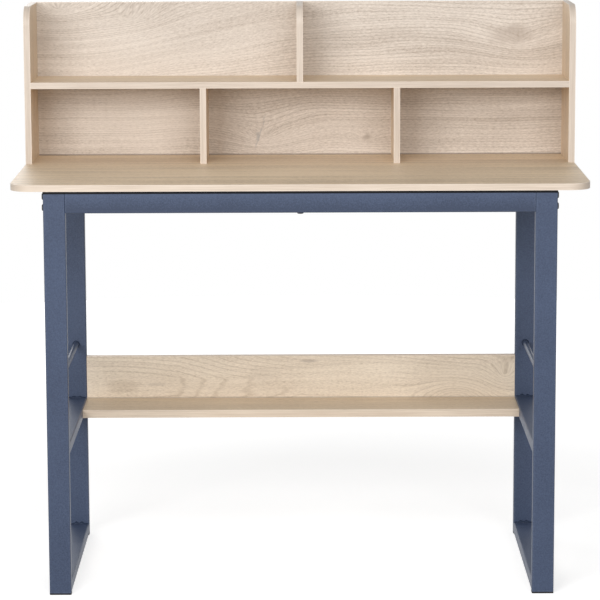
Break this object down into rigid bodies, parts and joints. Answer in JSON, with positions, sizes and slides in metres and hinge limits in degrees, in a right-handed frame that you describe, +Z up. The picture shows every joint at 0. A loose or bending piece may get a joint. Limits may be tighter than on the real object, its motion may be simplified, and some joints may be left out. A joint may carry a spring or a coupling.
{
  "type": "desk with shelves",
  "caption": "Writing desk with a rounded wood-look top, a low open hutch, flat steel tube side frames and a shallow shelf with an upright back board between them.",
  "frame": {"origin": "on the floor, under the middle of the desktop", "axes": "+X to the sitter's right along the desktop, +Y to the back where the hutch stands, +Z up"},
  "size_m": [1.05, 0.5, 1.06],
  "materials": {
    "frame_paint": "fine textured slate-blue powder coat",
    "plain_steel": "zinc plated, hidden in the rails",
    "black_steel": "black oxide, satin",
    "black_plastic": "moulded, matt",
    "dowel_wood": "plain beech",
    "oak_board": "pale oak laminate, matt",
    "oak_strip": "paler edge strip, matt"
  },
  "bodies": {
    "root": {"left_front_leg": "frame_paint", "left_rear_leg": "frame_paint", "left_top_rail": "frame_paint", "left_shelf_bearer": "frame_paint", "left_floor_runner": "frame_paint", "left_side_rod": "frame_paint", "right_front_leg": "frame_paint", "right_rear_leg": "frame_paint", "right_top_rail": "frame_paint", "right_shelf_bearer": "frame_paint", "right_floor_runner": "frame_paint", "right_side_rod": "frame_paint", "front_rail": "frame_paint", "rear_rail": "frame_paint", "rail_end_plates": "plain_steel", "rail_nuts": "plain_steel", "rail_bolts": "black_steel", "desktop_rail_screws": "black_steel", "desktop_frame_screws": "black_steel", "hutch_screws": "black_steel", "lower_shelf_screws": "black_steel", "upright_screws": "black_steel", "leg_plugs": "black_plastic", "hutch_dowels": "dowel_wood", "desktop": "oak_board", "hutch_left_side": "oak_board", "hutch_right_side": "oak_board", "hutch_back": "oak_board", "hutch_shelf": "oak_board", "upper_divider": "oak_board", "lower_left_divider": "oak_board", "lower_right_divider": "oak_board", "lower_shelf": "oak_board", "upright_board": "oak_board", "desktop_edge_strip": "oak_strip", "left_side_edge_strip": "oak_strip", "right_side_edge_strip": "oak_strip", "back_edge_strip": "oak_strip", "shelf_edge_strip": "oak_strip", "upper_divider_edge_strip": "oak_strip", "left_divider_edge_strip": "oak_strip", "right_divider_edge_strip": "oak_strip", "lower_shelf_edge_strip": "oak_strip", "upright_edge_strips": "oak_strip"}
  },
  "joints": []
}
